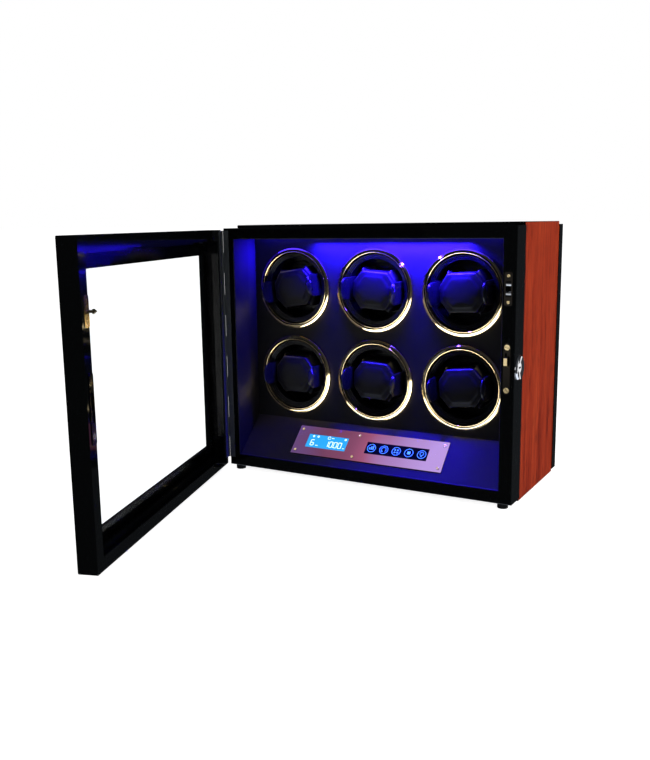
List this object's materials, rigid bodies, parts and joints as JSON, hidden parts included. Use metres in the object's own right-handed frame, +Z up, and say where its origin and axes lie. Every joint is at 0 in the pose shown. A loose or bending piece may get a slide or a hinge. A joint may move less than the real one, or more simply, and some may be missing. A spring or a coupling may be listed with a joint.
{
  "type": "watch winder box",
  "caption": "Black lacquered and rosewood watch winder box with winding drums behind gold rings, a lit interior, a control panel and a hinged glass door that stands open.",
  "frame": {"origin": "on the surface that the box stands on, under the middle of the cabinet's footprint, with the door left out", "axes": "+X to the right as seen from the front, +Y from the glass door to the back, +Z up"},
  "size_m": [0.4266, 0.5831, 0.3338],
  "materials": {
    "piano_lacquer": "high-gloss black piano lacquer over MDF",
    "rosewood_veneer": "gloss-lacquered rosewood veneer with dark figure",
    "black_gloss": "polished black acrylic and lacquer",
    "black_abs": "moulded black ABS, fine satin",
    "gold_anodised": "pale gold anodised and polished",
    "cushion_leatherette": "black leatherette over foam",
    "clear_glass": "clear float glass",
    "mirror_plate": "mirror-polished stainless steel",
    "screen_glass": "dark display glass",
    "circuit_board": "green solder mask",
    "lamp_diffuser": "opal diffuser over blue lamps",
    "black_rubber": "moulded rubber",
    "motor_steel": "zinc-plated motor cans",
    "antique_brass": "bronze-tinted brass",
    "polished_brass": "polished brass",
    "chrome_trim": "polished chrome",
    "steel_small": "satin steel",
    "black_nickel": "black-nickel-plated steel"
  },
  "bodies": {
    "cabinet": {"back_cover": "black_abs", "bezel_rings": "gold_anodised", "bottom_panel": "piano_lacquer", "cabinet_screws": "steel_small", "console_board": "black_gloss", "control_board": "circuit_board", "control_plate": "mirror_plate", "dc_inlet": "black_abs", "door_lock": "antique_brass", "drive_belts": "black_rubber", "drive_motors": "motor_steel", "drive_plate": "black_abs", "feet": "black_rubber", "front_frame": "piano_lacquer", "hinge_frame_leaves": "black_nickel", "lcd_module": "screen_glass", "led_strip": "lamp_diffuser", "lock_cylinder": "chrome_trim", "rear_frame": "piano_lacquer", "roller_catch": "antique_brass", "side_linings": "piano_lacquer", "side_panels": "rosewood_veneer", "top_panel": "piano_lacquer", "touch_strip": "black_gloss", "winder_panel": "black_gloss"},
    "door": {"door_frame": "piano_lacquer", "door_glass": "clear_glass", "glass_bead": "black_gloss", "catch_spear": "polished_brass", "lock_strike": "antique_brass", "hinge_door_leaves": "black_nickel", "door_screws": "steel_small"},
    "catch_lower": {"catch_roller_lower": "polished_brass"},
    "catch_upper": {"catch_roller_upper": "polished_brass"},
    "bolt": {"lock_bolt": "polished_brass"},
    "plug": {"lock_plug": "chrome_trim"},
    "rotor_1": {"rotor_drum_1": "black_abs"},
    "holder_1": {"cushion_holder_1": "black_abs", "watch_cushion_1": "cushion_leatherette"},
    "pulley_1": {"motor_pulley_1": "black_abs"},
    "rotor_2": {"rotor_drum_2": "black_abs"},
    "holder_2": {"cushion_holder_2": "black_abs", "watch_cushion_2": "cushion_leatherette"},
    "pulley_2": {"motor_pulley_2": "black_abs"},
    "rotor_3": {"rotor_drum_3": "black_abs"},
    "holder_3": {"cushion_holder_3": "black_abs", "watch_cushion_3": "cushion_leatherette"},
    "pulley_3": {"motor_pulley_3": "black_abs"},
    "rotor_4": {"rotor_drum_4": "black_abs"},
    "holder_4": {"cushion_holder_4": "black_abs", "watch_cushion_4": "cushion_leatherette"},
    "pulley_4": {"motor_pulley_4": "black_abs"},
    "rotor_5": {"rotor_drum_5": "black_abs"},
    "holder_5": {"cushion_holder_5": "black_abs", "watch_cushion_5": "cushion_leatherette"},
    "pulley_5": {"motor_pulley_5": "black_abs"},
    "rotor_6": {"rotor_drum_6": "black_abs"},
    "holder_6": {"cushion_holder_6": "black_abs", "watch_cushion_6": "cushion_leatherette"},
    "pulley_6": {"motor_pulley_6": "black_abs"}
  },
  "joints": [
    {"name": "door_hinge", "type": "hinge", "parent": "cabinet", "child": "door", "pos_m": [-0.2026, -0.09675, 0.168], "axis": [0, 0, -1], "range_deg": [-72, 38]},
    {"name": "rotor_spin_1", "type": "hinge", "parent": "cabinet", "child": "rotor_1", "pos_m": [-0.12, 0.00265, 0.2495], "axis": [0, 1, 0], "continuous": true},
    {"name": "holder_slide_1", "type": "slide", "parent": "rotor_1", "child": "holder_1", "axis": [0, -1, 0], "range_m": [0, 0.075]},
    {"name": "pulley_spin_1", "type": "hinge", "parent": "cabinet", "child": "pulley_1", "pos_m": [-0.09313, -0.00355, 0.22263], "axis": [0, 1, 0], "continuous": true},
    {"name": "rotor_spin_2", "type": "hinge", "parent": "cabinet", "child": "rotor_2", "pos_m": [0, 0.00265, 0.2495], "axis": [0, 1, 0], "continuous": true},
    {"name": "holder_slide_2", "type": "slide", "parent": "rotor_2", "child": "holder_2", "axis": [0, -1, 0], "range_m": [0, 0.075]},
    {"name": "pulley_spin_2", "type": "hinge", "parent": "cabinet", "child": "pulley_2", "pos_m": [0.02687, -0.00355, 0.22263], "axis": [0, 1, 0], "continuous": true},
    {"name": "rotor_spin_3", "type": "hinge", "parent": "cabinet", "child": "rotor_3", "pos_m": [0.12, 0.00265, 0.2495], "axis": [0, 1, 0], "continuous": true},
    {"name": "holder_slide_3", "type": "slide", "parent": "rotor_3", "child": "holder_3", "axis": [0, -1, 0], "range_m": [0, 0.075]},
    {"name": "pulley_spin_3", "type": "hinge", "parent": "cabinet", "child": "pulley_3", "pos_m": [0.14687, -0.00355, 0.22263], "axis": [0, 1, 0], "continuous": true},
    {"name": "rotor_spin_4", "type": "hinge", "parent": "cabinet", "child": "rotor_4", "pos_m": [-0.12, 0.00265, 0.1319], "axis": [0, 1, 0], "continuous": true},
    {"name": "holder_slide_4", "type": "slide", "parent": "rotor_4", "child": "holder_4", "axis": [0, -1, 0], "range_m": [0, 0.075]},
    {"name": "pulley_spin_4", "type": "hinge", "parent": "cabinet", "child": "pulley_4", "pos_m": [-0.09313, -0.00355, 0.10503], "axis": [0, 1, 0], "continuous": true},
    {"name": "rotor_spin_5", "type": "hinge", "parent": "cabinet", "child": "rotor_5", "pos_m": [0, 0.00265, 0.1319], "axis": [0, 1, 0], "continuous": true},
    {"name": "holder_slide_5", "type": "slide", "parent": "rotor_5", "child": "holder_5", "axis": [0, -1, 0], "range_m": [0, 0.075]},
    {"name": "pulley_spin_5", "type": "hinge", "parent": "cabinet", "child": "pulley_5", "pos_m": [0.02687, -0.00355, 0.10503], "axis": [0, 1, 0], "continuous": true},
    {"name": "rotor_spin_6", "type": "hinge", "parent": "cabinet", "child": "rotor_6", "pos_m": [0.12, 0.00265, 0.1319], "axis": [0, 1, 0], "continuous": true},
    {"name": "holder_slide_6", "type": "slide", "parent": "rotor_6", "child": "holder_6", "axis": [0, -1, 0], "range_m": [0, 0.075]},
    {"name": "pulley_spin_6", "type": "hinge", "parent": "cabinet", "child": "pulley_6", "pos_m": [0.14687, -0.00355, 0.10503], "axis": [0, 1, 0], "continuous": true},
    {"name": "bolt_slide", "type": "slide", "parent": "cabinet", "child": "bolt", "axis": [0, 0, 1], "range_m": [0, 0.00424]},
    {"name": "lock_turn", "type": "hinge", "parent": "cabinet", "child": "plug", "pos_m": [0.201, -0.07975, 0.168], "axis": [-1, 0, 0], "range_deg": [0, 90]},
    {"name": "lower_roller_give", "type": "slide", "parent": "cabinet", "child": "catch_lower", "axis": [0, 0, -1], "range_m": [-0.0013, 0.0003], "stiffness_N_per_m": 400},
    {"name": "upper_roller_give", "type": "slide", "parent": "cabinet", "child": "catch_upper", "axis": [0, 0, 1], "range_m": [-0.0013, 0.0003], "stiffness_N_per_m": 400}
  ],
  "couplings": [
    {"joint": "pulley_spin_1", "follows": "rotor_spin_1", "ratio": 4},
    {"joint": "pulley_spin_2", "follows": "rotor_spin_2", "ratio": 4},
    {"joint": "pulley_spin_3", "follows": "rotor_spin_3", "ratio": 4},
    {"joint": "pulley_spin_4", "follows": "rotor_spin_4", "ratio": 4},
    {"joint": "pulley_spin_5", "follows": "rotor_spin_5", "ratio": 4},
    {"joint": "pulley_spin_6", "follows": "rotor_spin_6", "ratio": 4},
    {"joint": "lock_turn", "follows": "bolt_slide", "rad_per_m": 370.23}
  ]
}
